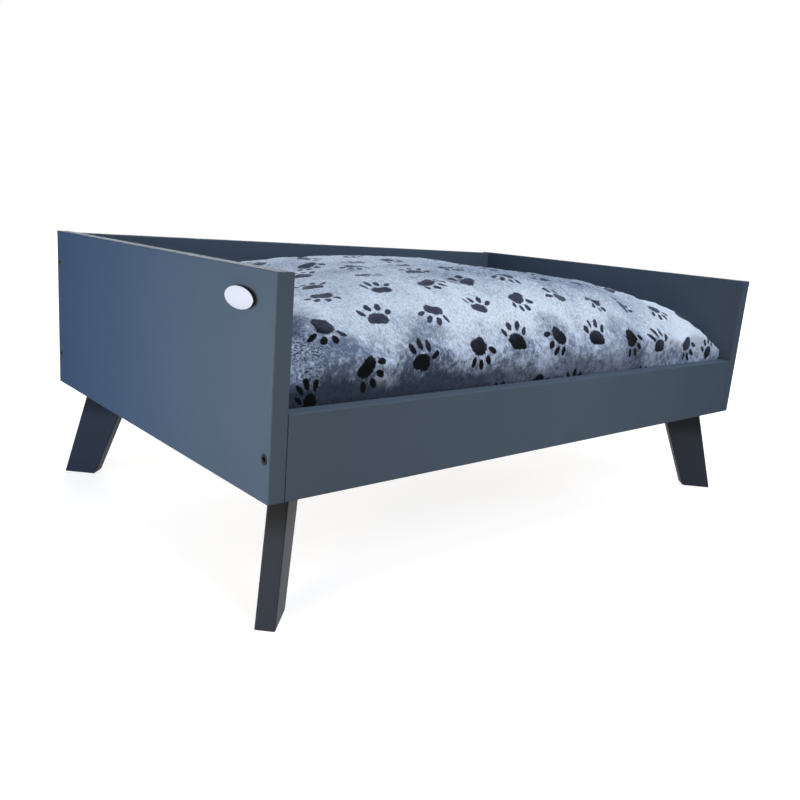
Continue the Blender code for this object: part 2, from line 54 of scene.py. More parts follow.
class Wire:
    # One output socket of a material, so that sums on it can be written as plain expressions
    def __init__(self, tree, socket=None):
        self.tree = tree
        self.socket = socket

    def node(self, kind, settings, sockets, out=0):
        made = self.tree.nodes.new("ShaderNode" + kind)
        for name, value in settings.items():
            setattr(made, name, value)
        for name, value in sockets.items():
            self.plug(made.inputs[name], value)
        return Wire(self.tree, made.outputs[out])

    def plug(self, socket, value):
        if isinstance(value, Wire):
            self.tree.links.new(value.socket, socket)
        elif isinstance(value, (int, float)) and socket.type == "RGBA":
            socket.default_value = (value, value, value, 1)
        elif isinstance(value, (int, float)) and socket.type == "VECTOR":
            socket.default_value = (value, value, value)
        elif socket.type == "RGBA":
            socket.default_value = (*value[:3], 1)
        else:
            socket.default_value = value

    def combine(self, operation, first, second):
        sides = (first, second)
        kinds = {side.socket.type for side in sides if isinstance(side, Wire)}
        if "RGBA" in kinds:
            settings = {"data_type": "RGBA", "blend_type": operation}
            return self.node("Mix", settings, {0: 1.0, 6: first, 7: second}, 2)
        if "VECTOR" in kinds or any(isinstance(side, tuple) for side in sides):
            return self.node("VectorMath", {"operation": operation}, {0: first, 1: second})
        return self.node("Math", {"operation": operation}, {0: first, 1: second})

    def __add__(self, other):
        return self.combine("ADD", self, other)

    def __radd__(self, other):
        return self.combine("ADD", other, self)

    def __sub__(self, other):
        return self.combine("SUBTRACT", self, other)

    def __rsub__(self, other):
        return self.combine("SUBTRACT", other, self)

    def __mul__(self, other):
        return self.combine("MULTIPLY", self, other)

    def __rmul__(self, other):
        return self.combine("MULTIPLY", other, self)


def fade(value, low, high):
    settings = {"interpolation_type": "SMOOTHSTEP"}
    return value.node("MapRange", settings, {"Value": value, "From Min": low, "From Max": high})


def mixed(mask, first, second):
    return mask.node("Mix", {"data_type": "RGBA"}, {0: mask, 6: first, 7: second}, 2)


def number(value, operation, *others):
    sockets = {0: value, **{index + 1: other for index, other in enumerate(others)}}
    return value.node("Math", {"operation": operation}, sockets)


def along(vector, axis):
    return vector.node("SeparateXYZ", {}, {0: vector}, "XYZ".index(axis))


def stretched(vector, scale):
    return vector.node("VectorMath", {"operation": "MULTIPLY"}, {0: vector, 1: scale})


def noise(vector, size, detail=3.0, roughness=0.55, out=0):
    # size is the real length of the coarsest blotches, in metres
    sockets = {"Vector": vector, "Scale": 1 / size, "Detail": detail, "Roughness": roughness}
    return vector.node("TexNoise", {"noise_dimensions": "3D"}, sockets, out)


def places(wire):
    return wire.node("TexCoord", {}, {}, "Object")


def srgb(red, green, blue):
    return tuple(
        (c / 12.92 if c <= 0.04045 else ((c + 0.055) / 1.055) ** 2.4)
        for c in (red / 255, green / 255, blue / 255)
    )


def newFinish(name, **fixed):
    material = bpy.data.materials.new(name)
    material.use_nodes = True
    shader = material.node_tree.nodes["Principled BSDF"]
    for socket, value in fixed.items():
        shader.inputs[socket.replace("_", " ")].default_value = value
    return material, Wire(material.node_tree), shader.inputs


def bumped(wire, height, depth, strength=1.0, normal=None):
    sockets = {"Strength": strength, "Distance": depth, "Height": height}
    if normal:
        sockets["Normal"] = normal
    return wire.node("Bump", {}, sockets)


def softEdges(wire, radius):
    rounded = wire.node("Bevel", {"samples": 6}, {"Radius": radius})
    plain = wire.node("NewGeometry", {}, {}, "True Normal")
    facing = wire.node("VectorMath", {"operation": "DOT_PRODUCT"}, {0: rounded, 1: plain}, "Value")
    return rounded, fade(facing, 0.995, 0.8)


# Finishes of boards, metal and small parts

boardPaint = {
    "slate": srgb(82, 95, 110),
    "slateGloss": 0.004,
    "charcoal": srgb(48, 53, 63),
    "charcoalGloss": 0.12,
    # painted shade under the boards: from and to height, and how much darker
    "legTopPaintedShade": (0.064, 0.088, 0.72),
    "variation": 0.07,
    "roughness": 0.5,
    "edgeRadius": 0.0009,
    "edgeWearAndHighlight": 0.2,
    "grain": (0.0016, 0.05),  # across and along the board, in metres
    "grainDepth": 0.00006,
}


def paintFinish(name, colour, lie, specular):
    # Sprayed satin paint: a little of the wood's grain still shows through, and the edges are lighter in
    # patches, partly thin rubbed paint and partly a painted highlight
    spec = boardPaint
    material, wire, shader = newFinish(name, Specular_IOR_Level=specular)
    spot = places(wire)
    across, length = spec["grain"]
    scale = tuple(1 / (length if axis == lie else across) for axis in "XYZ")
    grain = noise(stretched(spot, scale), 1.0, 4.0, 0.6)
    cloud = noise(spot, 0.11, 3.0)
    speck = noise(spot, 0.0012, 2.0)
    rounded, edge = softEdges(wire, spec["edgeRadius"])
    tone = 1 + (cloud - 0.5) * spec["variation"] * 2 + (grain - 0.5) * spec["variation"]
    if name == "charcoal":
        # Painted shade: the legs' colour is darkened close under the boards, where the boards' shadow
        # falls
        low, high, share = spec["legTopPaintedShade"]
        tone = tone * (1 - fade(along(spot, "Z"), low, high) * share)
    # Lighter patches along the edges: partly worn paint, partly a painted highlight
    wearAndHighlight = edge * fade(noise(spot, 0.012, 4.0), 0.42, 0.7)
    wornAndHighlit = mixed(wearAndHighlight * spec["edgeWearAndHighlight"], tone * colour, tuple(min(1, c * 2.2 + 0.02) for c in colour))
    wire.plug(shader["Base Color"], wornAndHighlit)
    gloss = spec["roughness"] + (cloud - 0.5) * 0.12 + (speck - 0.5) * 0.08 - edge * 0.05
    wire.plug(shader["Roughness"], gloss)
    skin = bumped(wire, grain, spec["grainDepth"], 0.8, rounded)
    wire.plug(shader["Normal"], bumped(wire, speck, 0.00003, 0.6, skin))
    return material


bareWood = {
    "pale": srgb(222, 190, 143),
    "dark": srgb(190, 148, 101),
    "ringWidth": 0.007,
    "ringStretch": 14,
    "fibre": (0.0006, 0.02),
}


def woodFinish(name, lie, tint=1.0, plies=0):
    # Planed softwood: growth rings drawn out along the piece, fibres and a few darker streaks
    spec = bareWood
    material, wire, shader = newFinish(name, Specular_IOR_Level=0.3)
    spot = places(wire)
    drawn = tuple(1 / spec["ringStretch"] if axis == lie else 1.0 for axis in "XYZ")
    warp = noise(stretched(spot, drawn), 0.02, 3.0)
    rings = wire.node(
        "TexWave",
        {"wave_type": "RINGS", "rings_direction": lie},
        {"Vector": stretched(spot, drawn) + (0.31, 0.17, 0.4), "Scale": 0.32 / spec["ringWidth"],
         "Distortion": 6.0, "Detail": 3.0, "Detail Scale": 2.0},
        "Fac",
    )
    across, length = spec["fibre"]
    fibreScale = tuple(1 / (length if axis == lie else across) for axis in "XYZ")
    fibres = noise(stretched(spot, fibreScale), 1.0, 3.0)
    late = fade(rings * 0.8 + warp * 0.4, 0.45, 0.95)
    pale = tuple(c * tint for c in spec["pale"])
    dark = tuple(c * tint for c in spec["dark"])
    colour = mixed(late * 0.75, pale, dark) * (1 + (fibres - 0.5) * 0.35)
    rounded = softEdges(wire, 0.0005)[0]
    if plies:
        # On its edges the board shows its layers, every other one end grain
        layer = number(along(spot, "Z") * (1 / plies), "FRACT")
        flat = number(along(wire.node("NewGeometry", {}, {}, "True Normal"), "Z"), "ABSOLUTE")
        seen = (1 - fade(flat, 0.4, 0.8)) * fade(number(layer - 0.5, "ABSOLUTE"), 0.2, 0.3)
        colour = mixed(seen * 0.7, colour, dark)
    wire.plug(shader["Base Color"], colour)
    wire.plug(shader["Roughness"], 0.62 + (fibres - 0.5) * 0.3 + late * 0.06)
    wire.plug(shader["Normal"], bumped(wire, fibres + late * 0.4, 0.00012, 0.7, rounded))
    return material


def metalFinish(name, colour, rough, metallic, specular=0.5):
    # Plated or blackened steel, rubbed brighter on its edges
    material, wire, shader = newFinish(name, Specular_IOR_Level=specular)
    spot = places(wire)
    rounded, edge = softEdges(wire, 0.0003)
    scratch = noise(stretched(spot, (1.0, 1.0, 6.0)), 0.0011, 4.0, 0.7)
    tarnish = noise(spot, 0.004, 3.0)
    bright = tuple(min(1, c * 3 + 0.05) for c in colour)
    base = mixed(edge * fade(scratch, 0.4, 0.65) * 0.6, colour, bright)
    wire.plug(shader["Base Color"], base * (0.85 + tarnish * 0.3))
    wire.plug(shader["Roughness"], rough + (scratch - 0.5) * 0.25 + (tarnish - 0.5) * 0.15)
    wire.plug(shader["Metallic"], metallic - fade(tarnish, 0.6, 0.8) * 0.15)
    wire.plug(shader["Normal"], bumped(wire, scratch, 0.00002, 0.5, rounded))
    return material


def plasticFinish(name, colour, rough):
    # Moulded plastic with the faintest unevenness and a few rubbed spots
    material, wire, shader = newFinish(name, Coat_Roughness=0.08)
    spot = places(wire)
    wave = noise(spot, 0.009, 2.0)
    rub = noise(spot, 0.0012, 4.0, 0.7)
    wire.plug(shader["Base Color"], (0.97 + wave * 0.06) * colour)
    wire.plug(shader["Roughness"], rough + fade(rub, 0.5, 0.8) * 0.18)
    wire.plug(shader["Coat Weight"], 0.5 - fade(rub, 0.55, 0.8) * 0.4)
    wire.plug(shader["Normal"], bumped(wire, wave, 0.00005, 0.6))
    return material


def clothFinish(name, colour, thread):
    # Plain weave: over and under threads, a little uneven, at the thread's real pitch
    material, wire, shader = newFinish(name, Sheen_Weight=0.25, Sheen_Roughness=0.5)
    spot = places(wire)
    turn = math.pi / thread
    warp = number(along(spot, "X") * turn, "SINE")
    weft = number((along(spot, "Z") + along(spot, "Y")) * turn, "SINE")
    weave = number(warp * weft, "ABSOLUTE")
    fuzz = noise(spot, 0.0007, 3.0)
    wire.plug(shader["Base Color"], (0.7 + weave * 0.4 + (fuzz - 0.5) * 0.5) * colour)
    wire.plug(shader["Roughness"], 0.85 + (fuzz - 0.5) * 0.2)
    wire.plug(shader["Normal"], bumped(wire, weave + fuzz * 0.5, 0.0003, 0.7))
    return material


# Plush with paw prints

plush = {
    "litSilverTop": srgb(224, 237, 254),  # painted light: the top's lit silver
    # painted shade on the top's plateau
    "shadedTop": srgb(112, 128, 157),
    # walls: painted shade against the lit top, mottled light and dark
    "wall": srgb(182, 197, 224),
    "wallDark": srgb(104, 118, 144),
    "low": srgb(54, 64, 82),  # painted shade low on the walls, by the boards
    # dark flecks and painted glints, for the flecked spots
    "deep": srgb(22, 27, 38),
    "glint": srgb(206, 220, 244),
    "topPrintPaintedSheen": srgb(62, 67, 86),
    "wallPrint": srgb(7, 8, 12),
    "clump": 0.0055,
    "cloud": 0.05,
    "fleck": 0.0022,
    "nap": 0.0018,
    "streak": (0.0016, 0.011),  # across and along the pile, in metres
    "depth": 0.0012,
    "topFrom": 0.206,  # from here up the walls' painted shade gives way to the top's painted light
    "topTo": 0.236,
    "lowFrom": 0.211,  # the painted shade by the boards begins below here, and is full at the next level
    "lowTo": 0.186,
    "lowRight": 0.1,  # painted shade is weaker from here to the right
    # spots painted in fine dark flecks with painted glints: x, y, z and radius
    "fleckSpots": [(-0.304, -0.186, 0.214, 0.026), (-0.316, -0.206, 0.202, 0.02),
                (0.29, 0.1, 0.23, 0.03), (-0.1, 0.21, 0.21, 0.03)],
}

pawPrints = {
    "spacing": (0.063, 0.052),  # along and across the cushion
    "jitter": 0.008,  # most that one stands off its place
    "turn": 0.8,  # most that one leans off the line, in radians
    # each oval: middle x and y, half width, half length (metres), turn (radians)
    "pad": [(0, -0.0042, 0.0098, 0.0072, 0), (-0.0036, -0.0066, 0.0066, 0.0052, 0.25),
            (0.0036, -0.0066, 0.0066, 0.0052, -0.25)],
    "toes": [(-0.0132, 0.0046, 0.0028, 0.0050, 0.62), (-0.0049, 0.0108, 0.0029, 0.0052, 0.2),
             (0.0049, 0.0108, 0.0029, 0.0052, -0.2), (0.0132, 0.0046, 0.0028, 0.0050, -0.62)],
}


def oval(spot, x, y, halfWidth, halfLength, turn):
    # Distance from an oval's middle, 1 on its outline
    sockets = {"Vector": spot, "Location": (x, y, 0), "Rotation": (0, 0, turn),
               "Scale": (halfWidth, halfLength, 1)}
    inside = spot.node("Mapping", {"vector_type": "TEXTURE"}, sockets)
    return spot.node("VectorMath", {"operation": "LENGTH"}, {0: inside}, "Value")


def pawMask(wire, cloth, fray):
    # Staggered rows of prints, every other one turned round, each nudged and turned by chance
    spec = pawPrints
    wide, deep = spec["spacing"]
    row = number(along(cloth, "Y") * (1 / deep), "FLOOR")
    odd = number(row, "FLOORED_MODULO", 2.0)
    column = number(along(cloth, "X") * (1 / wide) + odd * 0.5, "FLOOR")
    middleX = (column + 0.5 - odd * 0.5) * wide
    middleY = (row + 0.5) * deep
    middle = wire.node("CombineXYZ", {}, {"X": middleX, "Y": middleY})
    cell = wire.node("CombineXYZ", {}, {"X": column, "Y": row, "Z": along(cloth, "Z")})
    chance = wire.node("TexWhiteNoise", {"noise_dimensions": "3D"}, {"Vector": cell}, "Color")
    red = wire.node("SeparateColor", {}, {0: chance}, 0)
    green = wire.node("SeparateColor", {}, {0: chance}, 1)
    blue = wire.node("SeparateColor", {}, {0: chance}, 2)
    nudge = wire.node("CombineXYZ", {}, {"X": (red - 0.5) * spec["jitter"] * 2,
                                         "Y": (green - 0.5) * spec["jitter"] * 2})
    local = stretched(cloth, (1.0, 1.0, 0.0)) - middle - nudge
    flip = number(column + row, "FLOORED_MODULO", 2.0) * math.pi
    angle = flip + (blue - 0.5) * spec["turn"] * 2
    turned = wire.node("VectorRotate", {"rotation_type": "Z_AXIS"}, {"Vector": local, "Angle": angle})
    pad = None
    for shape in spec["pad"]:
        lobe = oval(turned, *shape)
        pad = lobe if pad is None else number(pad, "SMOOTH_MIN", lobe, 0.35)
    nearest = pad
    for shape in spec["toes"]:
        nearest = number(nearest, "MINIMUM", oval(turned, *shape))
    return 1 - fade(nearest + (fray - 0.5) * 0.9, 0.9, 1.15)


def plushFinish():
    spec = plush
    material, wire, shader = newFinish(
        "plush", Sheen_Weight=0.15, Sheen_Roughness=0.38, Specular_IOR_Level=0.05,
        Sheen_Tint=(*srgb(214, 226, 247), 1),
    )
    spot = places(wire)
    cloth = wire.node("Attribute", {"attribute_name": "cloth"}, {}, "Vector")
    fine, long = spec["streak"]
    streaks = noise(stretched(cloth, (1 / fine, 1 / long, 1.0)), 1.0, 4.0, 0.65)
    clumps = noise(spot, spec["clump"], 5.0, 0.66)
    cloud = noise(spot, spec["cloud"], 3.0, 0.55)
    broad = noise(spot + (0.4, 0.1, 0.2), 0.16, 2.0)
    speckle = noise(spot, 0.0021, 3.0, 0.6)
    nap = noise(stretched(cloth, (1.0, 0.45, 1.0)), spec["nap"], 3.0, 0.7)
    fleck = noise(spot, spec["fleck"], 3.0, 0.75)
    x, y, z = (along(spot, axis) for axis in "XYZ")
    ragged = (cloud - 0.5) + (clumps - 0.5) * 0.4
    fibre = (nap - 0.5) * 1.5 + (streaks - 0.5) * 0.7 + (speckle - 0.5) * 0.6

    front = fade(y + ragged * 0.1, -0.06, -0.16)
    # Painted shadow of the left board over the front's left end
    leftPanelShadow = fade(x + ragged * 0.05, -0.24, -0.31) * front
    # Painted light on the right end, which is lit more
    rightPaintedLight = fade(x + ragged * 0.1, 0.14, 0.25)
    calm = 1 - fade(x + ragged * 0.1, -0.05, 0.15) * 0.45
    brushed = fade(cloud * 0.5 + clumps * 0.5, 0.36, 0.62)

    # Painted light and shade on top: a lit silver, with painted shade on the plateau behind the front
    # shoulder, most from the middle to the right
    turned = fade(y + x * 0.2 + ragged * 0.1, -0.19, -0.12) * fade(x + ragged * 0.3, -0.22, 0.02)
    turned = turned * (1 - fade(y + ragged * 0.3, -0.08, 0.12) * 0.5)
    turned = number(turned, "MAXIMUM", fade(y + ragged * 0.1, -0.17, -0.06) * 0.5)
    turned = turned * (1 - fade(x + ragged * 0.2, 0.15, 0.27) * 0.75) * (0.75 + brushed * 0.25)
    topLitShare = fade(cloud * 0.55 + broad * 0.45, 0.26, 0.48) * (0.9 - turned * 0.8) + rightPaintedLight * 0.3
    top = mixed(topLitShare + fibre * 1.2, spec["shadedTop"], spec["litSilverTop"]) * (1 + fibre * 0.15)

    # The walls are painted darker than the top, a painted shade, in random mottles, and painted shade
    # darkens them near the boards
    mottle = 1 + ((clumps - 0.5) * 0.9 + fibre * 0.7) * calm
    # Wall mottles at random, with a painted shadow towards the left end
    wallMottleAndShadow = brushed - fade(x + ragged * 0.3, -0.12, -0.26) * front * 0.5
    wallMottleAndShadow = wallMottleAndShadow + (fibre + clumps - 0.5) * calm * 0.7
    wall = mixed(wallMottleAndShadow, spec["wallDark"], spec["wall"]) * mottle * (1 + rightPaintedLight * 0.25)
    level = z + ragged * 0.035
    # Painted shade low on the walls, near the boards
    nearBoardShade = fade(level, spec["lowFrom"], spec["lowTo"]) * (1 - rightPaintedLight * 0.9)
    nearBoardShade = nearBoardShade * (0.72 + fade(x + ragged * 0.1, spec["lowRight"], spec["lowRight"] - 0.3) * 0.28)
    topness = fade(level - leftPanelShadow * 0.018 + rightPaintedLight * 0.03, spec["topFrom"], spec["topTo"])
    # Painted shade on the walls gives way to painted light on top
    fur = mixed(topness, wall, top)
    fur = mixed(nearBoardShade, fur, mottle * spec["low"])
    # Fine dark flecks with painted glints
    darkAndGlintFlecks = mixed(fade(fleck, 0.42, 0.62), spec["deep"], spec["glint"])
    for *middle, radius in spec["fleckSpots"]:
        away = wire.node("VectorMath", {"operation": "DISTANCE"}, {0: spot, 1: tuple(middle)}, "Value")
        flecked = fade(away + ragged * 0.05, radius, radius * 0.3)
        fur = mixed(flecked * 0.8, fur, darkAndGlintFlecks)

    dyed = pawMask(wire, cloth, speckle * 0.5 + nap * 0.5)
    # The ink is painted lighter on top: a painted sheen over the prints
    ink = (0.2 + clumps * 1.6) * mixed(topness, spec["wallPrint"], spec["topPrintPaintedSheen"])
    wire.plug(shader["Base Color"], mixed(dyed, fur, ink))
    wire.plug(shader["Roughness"], 0.85 + (clumps - 0.5) * 0.25)
    height = clumps * 0.6 + streaks * 0.55 + speckle * 0.3
    wire.plug(shader["Normal"], bumped(wire, height, spec["depth"], 0.7))
    return material


# Mesh helpers


def meshObject(name, points, faces, material, smooth=True):
    mesh = bpy.data.meshes.new(name)
    mesh.from_pydata(points, [], faces)
    mesh.validate()
    if smooth:
        mesh.shade_smooth()
    made = bpy.data.objects.new(name, mesh)
    bpy.context.scene.collection.objects.link(made)
    mesh.materials.append(material)
    return made


def applied(target):
    # The mesh with its modifiers worked in, and the modifiers gone
    bpy.context.view_layer.update()
    seen = target.evaluated_get(bpy.context.evaluated_depsgraph_get())
    mesh = bpy.data.meshes.new_from_object(seen)
    target.modifiers.clear()
    target.data = mesh
    return target


def pointsOf(mesh):
    flat = np.empty(len(mesh.vertices) * 3, np.float32)
    mesh.vertices.foreach_get("co", flat)
    return flat.reshape(-1, 3).astype(float)


def setPoints(mesh, points):
    mesh.vertices.foreach_set("co", points.astype(np.float32).ravel())
    mesh.update()


def lofted(name, rings, material):
    # Rings of points, all alike in number, skinned and closed at both ends
    count = len(rings[0])
    points = [p for ring in rings for p in ring]
    faces = []
    for level in range(len(rings) - 1):
        for step in range(count):
            a = level * count + step
            b = level * count + (step + 1) % count
            faces.append((a, b, b + count, a + count))
    faces.append(tuple(reversed(range(count))))
    faces.append(tuple(range(len(points) - count, len(points))))
    return meshObject(name, points, faces, material)


# Cushion

cushion = {
    "lengthwisePower": 1.85,
    "acrossPower": 5.3,
    "roundness": 2.05,
    "undersidePower": 9,
    "flattening": 0.014,
    "drawIn": 0.004,
    "cornerPower": 60,
    "squeeze": 0.012,  # how far the filling is pressed out into the boards' corners
    "squeezeTop": 0.222,  # above this level it isn't
    "squeezeReach": 0.04,  # from the rim inwards
    "droop": 0.019,  # how far the cushion's own corners sink
    "droopReach": (0.09, 0.06),  # lengthwise and across, from each corner
    "fullEnds": 0.006,  # how much fuller its two ends are
    "fullFrom": (0.055, 0.028),  # from the end to the fullest place, and how far that spreads
    "cells": (96, 64),
    "voxel": 0.005,
    "pressure": 4.0,
    "growth": 0.07,  # how much larger the cover is cut than its filling
    "frames": 20,  # of the cloth simulation
    "takeOff": 6,  # rounds of smoothing that take off the finest creases
    "evenOut": 60,  # rounds that part the wrinkles from the form
    "cap": 0.0028,  # the most that a wrinkle stands out
    "clearance": 0.0012,
    "zipLip": (0.0044, 0.0072),  # half height of the slit over the zip, at its floor and at its mouth
    "zipPull": (0.0215, 0.038),  # how far from the seam the cover stays behind the slider's pull
    "pullRoom": 0.0024,  # from the slider's outer face in to the cover
    "zipEnds": (0.004, 0.035),  # past the tape's ends, between which the cover comes out again
    "seamDepth": 0.0006,
    "seamWidth": 0.0025,
    "gathers": (0.0011, 0.014),  # height, and how far they run from the seam
    "foldFrom": (0.075, 0.05),  # folds begin this far from the front, and are full this much nearer
    # lumps in the filling and clumps in the pile: size and height, in metres
    "lumps": [(0.085, 0.0026), (0.032, 0.0016), (0.0065, 0.0009)],
    # soft folds on the front: start and end (x, z seen from the front), width, depth; a valley is negative
    "folds": [
        ((0.028, 0.238), (0.072, 0.190), 0.008, -0.0075),
        ((0.008, 0.236), (0.052, 0.194), 0.008, 0.0038),
        ((0.104, 0.240), (0.142, 0.206), 0.011, -0.0045),
        ((0.158, 0.228), (0.178, 0.196), 0.010, -0.0042),
        ((-0.128, 0.262), (-0.153, 0.222), 0.0035, -0.0020),
        ((-0.125, 0.207), (-0.108, 0.186), 0.010, -0.0045),
        ((-0.232, 0.216), (-0.200, 0.190), 0.014, -0.0045),
        ((0.235, 0.216), (0.264, 0.190), 0.011, -0.0042),
        ((-0.300, 0.212), (-0.285, 0.185), 0.010, -0.0035),
        ((-0.045, 0.208), (-0.028, 0.184), 0.010, -0.0032),
    ],
}

topLow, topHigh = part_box("cushion_top_panel")
underLow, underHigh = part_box("cushion_bottom_panel")
seamLevel = (topLow.z + underHigh.z) / 2
crownRise = topHigh.z - seamLevel
underDrop = seamLevel - underLow.z
middleX = (topLow.x + topHigh.x) / 2
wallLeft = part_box("left_side_panel")[1].x
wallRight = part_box("right_side_panel")[0].x
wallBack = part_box("back_panel")[0].y
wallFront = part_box("front_rail")[1].y
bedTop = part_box("base_board")[1].z
halfX = (wallRight - wallLeft) / 2 - 0.002
halfY = (wallBack - wallFront) / 2 - 0.002


def crownLevel(u, v):
    spec = cushion
    left = np.clip(1 - np.abs(u) ** spec["lengthwisePower"], 0, 1)
    left = left * np.clip(1 - np.abs(v) ** spec["acrossPower"], 0, 1)
    return crownRise * left ** (1 / spec["roundness"])


def underLevel(u, v):
    spec = cushion
    left = np.clip(1 - np.abs(u) ** spec["undersidePower"], 0, 1)
    left = left * np.clip(1 - np.abs(v) ** spec["undersidePower"], 0, 1)
    return -np.minimum(underDrop, (underDrop + spec["flattening"]) * left ** 0.5)


def cushionCage(material):
    # Two grids of points, above and below the seam, sewn along their rim
    spec = cushion
    across, deep = spec["cells"]
    u, v = np.meshgrid(np.sin(np.linspace(-1, 1, across + 1) * math.pi / 2),
                       np.sin(np.linspace(-1, 1, deep + 1) * math.pi / 2), indexing="ij")
    power = spec["cornerPower"]
    blunt = np.maximum((np.abs(u) ** power + np.abs(v) ** power) ** (1 / power), 1e-9)
    pull = np.where(blunt > 1e-8, np.maximum(np.abs(u), np.abs(v)) / blunt, 1)
    x = middleX + (halfX - spec["drawIn"] * (1 - v * v)) * u * pull
    y = (halfY - spec["drawIn"] * (1 - u * u)) * v * pull
    above = np.stack([x, y, seamLevel + crownLevel(u, v)], axis=-1)
    below = np.stack([x, y, seamLevel + underLevel(u, v)], axis=-1)
    points = [tuple(p) for p in above.reshape(-1, 3)] + [tuple(p) for p in below.reshape(-1, 3)]
    offset = above.shape[0] * above.shape[1]

    def index(i, j, side):
        return side * offset + i * (deep + 1) + j

    faces = []
    for i in range(across):
        for j in range(deep):
            top = (index(i, j, 0), index(i + 1, j, 0), index(i + 1, j + 1, 0), index(i, j + 1, 0))
            faces.append(top)
            faces.append(tuple(corner + offset for corner in reversed(top)))
    made = meshObject("cushion_cover", points, faces, material)
    shape = bmesh.new()
    shape.from_mesh(made.data)
    bmesh.ops.remove_doubles(shape, verts=shape.verts, dist=0.0001)
    bmesh.ops.recalc_face_normals(shape, faces=shape.faces)
    shape.to_mesh(made.data)
    shape.free()
    return made


def inflate(target):
    # The cover is cut a little large and sewn down at its seam: under the filling's pressure it wrinkles
    spec = cushion
    remesh = target.modifiers.new("voxels", "REMESH")
    remesh.mode = "VOXEL"
    remesh.voxel_size = spec["voxel"]
    applied(target)
    before = pointsOf(target.data)
    sewn = target.vertex_groups.new(name="sewn")
    loose = np.clip((before[:, 2] - seamLevel - 0.002) / 0.012, 0, 1)
    for step in range(6):
        share = 1 - step / 5
        chosen = np.flatnonzero(np.round(loose * 5) == step)
        if share > 0 and len(chosen):
            sewn.add([int(i) for i in chosen], share, "REPLACE")
    cloth = target.modifiers.new("filling", "CLOTH")
    settings = cloth.settings
    settings.quality = 6
    settings.mass = 0.3
    settings.tension_stiffness = 15
    settings.compression_stiffness = 15
    settings.shear_stiffness = 8
    settings.bending_stiffness = 4
    settings.shrink_min = -spec["growth"]
    settings.vertex_group_mass = "sewn"
    settings.use_pressure = True
    settings.uniform_pressure_force = spec["pressure"]
    settings.effector_weights.gravity = 0
    cloth.collision_settings.use_collision = False
    cloth.point_cache.frame_start = 1
    cloth.point_cache.frame_end = spec["frames"]
    for step in range(1, spec["frames"] + 1):
        bpy.context.scene.frame_set(step)
    applied(target)
    bpy.context.scene.frame_set(1)
    target.vertex_groups.clear()
    move = pointsOf(target.data) - before
    move = softened(move, target.data, spec["takeOff"])
    wrinkles = move - softened(move, target.data, spec["evenOut"])
    length = np.linalg.norm(wrinkles, axis=1, keepdims=True)
    print("wrinkles: mean %.1f mm, most %.1f mm" % (length.mean() * 1000, length.max() * 1000))
    setPoints(target.data, before + wrinkles * np.minimum(1, spec["cap"] / np.maximum(length, 1e-9)))


def softened(points, mesh, rounds):
    # Evens out the points with their neighbours
    edges = np.empty(len(mesh.edges) * 2, np.int32)
    mesh.edges.foreach_get("vertices", edges)
    first, second = edges.reshape(-1, 2).T
    count = np.bincount(np.concatenate([first, second]), minlength=len(points))[:, None]
    for _ in range(rounds):
        total = np.zeros_like(points)
        np.add.at(total, first, points[second])
        np.add.at(total, second, points[first])
        points = points * 0.5 + total / count * 0.5
    return points


def normalsOf(mesh):
    flat = np.empty(len(mesh.vertices) * 3, np.float32)
    mesh.vertices.foreach_get("normal", flat)
    return flat.reshape(-1, 3).astype(float)


def foldHeight(points):
    # Soft valleys and ridges along lines on the cushion's front, faded towards the top
    total = np.zeros(len(points))
    begin, growing = cushion["foldFrom"]
    front = np.clip((-points[:, 1] - (halfY - begin)) / growing, 0, 1)
    flat = points[:, [0, 2]]
    for start, end, width, depth in cushion["folds"]:
        start, end = np.array(start), np.array(end)
        line = end - start
        share = np.clip(((flat - start) @ line) / (line @ line), 0, 1)
        away = np.linalg.norm(flat - (start + share[:, None] * line), axis=1)
        taper = np.sin(np.pi * np.clip(share * 0.8 + 0.15, 0, 1))
        total += depth * taper * np.exp(-((away / width) ** 2)) * front
    return total


def seamGroove(points):
    spec = cushion
    return -spec["seamDepth"] * np.exp(-(((points[:, 2] - seamLevel) / spec["seamWidth"]) ** 2))


def puckers(points):
    # Little gathers that run away from the seam, all round
    height, reach = cushion["gathers"]
    around = np.arctan2(points[:, 1] / halfY, (points[:, 0] - middleX) / halfX)
    wave = np.sin(around * 61) * 0.6 + np.sin(around * 97 + 1.3) * 0.4
    near = np.exp(-((np.abs(points[:, 2] - seamLevel) / reach) ** 2))
    rim = np.maximum(np.abs(points[:, 0] - middleX) / halfX, np.abs(points[:, 1]) / halfY) ** 12
    return height * wave * near * rim


def squeezed(points):
    # Low down the filling is pressed out into the tray's sides and corners
    spec = cushion
    weight = np.clip((spec["squeezeTop"] - points[:, 2]) / 0.03, 0, 1)
    weight = weight * weight * (3 - 2 * weight) * spec["squeeze"]
    endways, sideways = np.abs(points[:, 0] - middleX), np.abs(points[:, 1])
    nearX = np.clip((endways - (halfX - spec["squeezeReach"])) / 0.03, 0, 1)
    nearY = np.clip((sideways - (halfY - spec["squeezeReach"])) / 0.03, 0, 1)
    reachX, reachY = spec["droopReach"]
    cornerX = np.clip((endways - (halfX - reachX)) / reachX, 0, 1)
    cornerY = np.clip((sideways - (halfY - reachY)) / reachY, 0, 1)
    raised = np.clip((points[:, 2] - bedTop) / 0.04, 0, 1)
    points[:, 0] += np.sign(points[:, 0] - middleX) * weight * nearX
    points[:, 1] += np.sign(points[:, 1]) * weight * nearY * (1 - cornerX * 0.3)
    points[:, 2] -= spec["droop"] * cornerX ** 2 * cornerY * raised
    fullest, spread = spec["fullFrom"]
    fromEnd = (halfX - fullest - np.abs(points[:, 0] - middleX)) / spread
    points[:, 2] += spec["fullEnds"] * np.exp(-(fromEnd ** 2)) * raised
    return points


